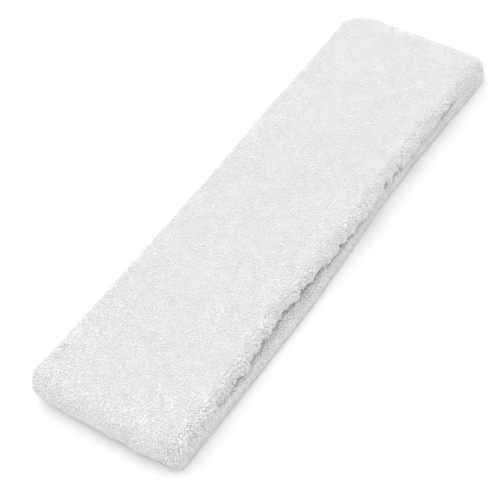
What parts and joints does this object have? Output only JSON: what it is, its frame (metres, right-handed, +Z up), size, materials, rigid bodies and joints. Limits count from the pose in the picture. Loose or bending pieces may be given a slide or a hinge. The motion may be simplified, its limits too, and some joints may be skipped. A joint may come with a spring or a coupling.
{
  "type": "sports headband",
  "caption": "Terry-cloth sports headband lying flat: a soft endless band of looped fabric folded double, with elastic inside, that opens into a round loop.",
  "frame": {"origin": "under the middle of the flat band, on the surface it lies on", "axes": "+X along the flat band, +Y across its width, +Z up through its two walls"},
  "size_m": [0.18, 0.052, 0.012],
  "materials": {
    "terry": "matte white cotton looped pile",
    "elastic": "matte covered elastic yarn",
    "thread": "soft white polyester thread"
  },
  "bodies": {
    "lower_middle": {"terry_lower_middle": "terry", "elastic_lower_middle": "elastic", "seam_lower_middle": "thread"},
    "lower_right_1": {"terry_lower_right_1": "terry", "elastic_lower_right_1": "elastic", "seam_lower_right_1": "thread"},
    "lower_right_2": {"terry_lower_right_2": "terry", "elastic_lower_right_2": "elastic", "seam_lower_right_2": "thread"},
    "lower_right_3": {"terry_lower_right_3": "terry", "elastic_lower_right_3": "elastic", "seam_lower_right_3": "thread", "terry_fold_right": "terry", "elastic_fold_right": "elastic", "seam_fold_right": "thread"},
    "upper_right_3": {"terry_upper_right_3": "terry", "elastic_upper_right_3": "elastic", "seam_upper_right_3": "thread"},
    "upper_right_2": {"terry_upper_right_2": "terry", "elastic_upper_right_2": "elastic", "seam_upper_right_2": "thread"},
    "upper_right_1": {"terry_upper_right_1": "terry", "elastic_upper_right_1": "elastic", "seam_upper_right_1": "thread"},
    "upper_middle_right": {"terry_upper_middle_right": "terry", "elastic_upper_middle_right": "elastic", "seam_upper_middle_right": "thread"},
    "lower_left_1": {"terry_lower_left_1": "terry", "elastic_lower_left_1": "elastic", "seam_lower_left_1": "thread"},
    "lower_left_2": {"terry_lower_left_2": "terry", "elastic_lower_left_2": "elastic", "seam_lower_left_2": "thread"},
    "lower_left_3": {"terry_lower_left_3": "terry", "elastic_lower_left_3": "elastic", "seam_lower_left_3": "thread", "terry_fold_left": "terry", "elastic_fold_left": "elastic", "seam_fold_left": "thread"},
    "upper_left_3": {"terry_upper_left_3": "terry", "elastic_upper_left_3": "elastic", "seam_upper_left_3": "thread"},
    "upper_left_2": {"terry_upper_left_2": "terry", "elastic_upper_left_2": "elastic", "seam_upper_left_2": "thread"},
    "upper_left_1": {"terry_upper_left_1": "terry", "elastic_upper_left_1": "elastic", "seam_upper_left_1": "thread"},
    "upper_middle_left": {"terry_upper_middle_left": "terry", "elastic_upper_middle_left": "elastic", "seam_upper_middle_left": "thread"}
  },
  "joints": [
    {"name": "bend_lower_right_1", "type": "hinge", "parent": "lower_middle", "child": "lower_right_1", "pos_m": [0.012, 0, 0.006], "axis": [0, -1, 0], "range_deg": [0, 25.7]},
    {"name": "bend_lower_right_2", "type": "hinge", "parent": "lower_right_1", "child": "lower_right_2", "pos_m": [0.036, 0, 0.006], "axis": [0, -1, 0], "range_deg": [0, 25.7]},
    {"name": "bend_lower_right_3", "type": "hinge", "parent": "lower_right_2", "child": "lower_right_3", "pos_m": [0.06, 0, 0.006], "axis": [0, -1, 0], "range_deg": [0, 25.7]},
    {"name": "unfold_right", "type": "hinge", "parent": "lower_right_3", "child": "upper_right_3", "pos_m": [0.084, 0, 0.006], "axis": [0, 1, 0], "range_deg": [0, 154.3], "deforming": ["terry_fold_right", "elastic_fold_right", "seam_fold_right"]},
    {"name": "bend_upper_right_3", "type": "hinge", "parent": "upper_right_3", "child": "upper_right_2", "pos_m": [0.06, 0, 0.006], "axis": [0, -1, 0], "range_deg": [0, 25.7]},
    {"name": "bend_upper_right_2", "type": "hinge", "parent": "upper_right_2", "child": "upper_right_1", "pos_m": [0.036, 0, 0.006], "axis": [0, -1, 0], "range_deg": [0, 25.7]},
    {"name": "bend_upper_right_1", "type": "hinge", "parent": "upper_right_1", "child": "upper_middle_right", "pos_m": [0.012, 0, 0.006], "axis": [0, -1, 0], "range_deg": [0, 25.7]},
    {"name": "bend_lower_left_1", "type": "hinge", "parent": "lower_middle", "child": "lower_left_1", "pos_m": [-0.012, 0, 0.006], "axis": [0, 1, 0], "range_deg": [0, 25.7]},
    {"name": "bend_lower_left_2", "type": "hinge", "parent": "lower_left_1", "child": "lower_left_2", "pos_m": [-0.036, 0, 0.006], "axis": [0, 1, 0], "range_deg": [0, 25.7]},
    {"name": "bend_lower_left_3", "type": "hinge", "parent": "lower_left_2", "child": "lower_left_3", "pos_m": [-0.06, 0, 0.006], "axis": [0, 1, 0], "range_deg": [0, 25.7]},
    {"name": "unfold_left", "type": "hinge", "parent": "lower_left_3", "child": "upper_left_3", "pos_m": [-0.084, 0, 0.006], "axis": [0, -1, 0], "range_deg": [0, 154.3], "deforming": ["terry_fold_left", "elastic_fold_left", "seam_fold_left"]},
    {"name": "bend_upper_left_3", "type": "hinge", "parent": "upper_left_3", "child": "upper_left_2", "pos_m": [-0.06, 0, 0.006], "axis": [0, 1, 0], "range_deg": [0, 25.7]},
    {"name": "bend_upper_left_2", "type": "hinge", "parent": "upper_left_2", "child": "upper_left_1", "pos_m": [-0.036, 0, 0.006], "axis": [0, 1, 0], "range_deg": [0, 25.7]},
    {"name": "bend_upper_left_1", "type": "hinge", "parent": "upper_left_1", "child": "upper_middle_left", "pos_m": [-0.012, 0, 0.006], "axis": [0, 1, 0], "range_deg": [0, 25.7]}
  ],
  "couplings": [
    {"joint": "bend_lower_right_2", "follows": "bend_lower_right_1", "ratio": 1},
    {"joint": "bend_lower_right_3", "follows": "bend_lower_right_1", "ratio": 1},
    {"joint": "unfold_right", "follows": "bend_lower_right_1", "ratio": 6},
    {"joint": "bend_upper_right_3", "follows": "bend_lower_right_1", "ratio": 1},
    {"joint": "bend_upper_right_2", "follows": "bend_lower_right_1", "ratio": 1},
    {"joint": "bend_upper_right_1", "follows": "bend_lower_right_1", "ratio": 1},
    {"joint": "bend_lower_left_1", "follows": "bend_lower_right_1", "ratio": 1},
    {"joint": "bend_lower_left_2", "follows": "bend_lower_right_1", "ratio": 1},
    {"joint": "bend_lower_left_3", "follows": "bend_lower_right_1", "ratio": 1},
    {"joint": "unfold_left", "follows": "bend_lower_right_1", "ratio": 6},
    {"joint": "bend_upper_left_3", "follows": "bend_lower_right_1", "ratio": 1},
    {"joint": "bend_upper_left_2", "follows": "bend_lower_right_1", "ratio": 1},
    {"joint": "bend_upper_left_1", "follows": "bend_lower_right_1", "ratio": 1}
  ]
}
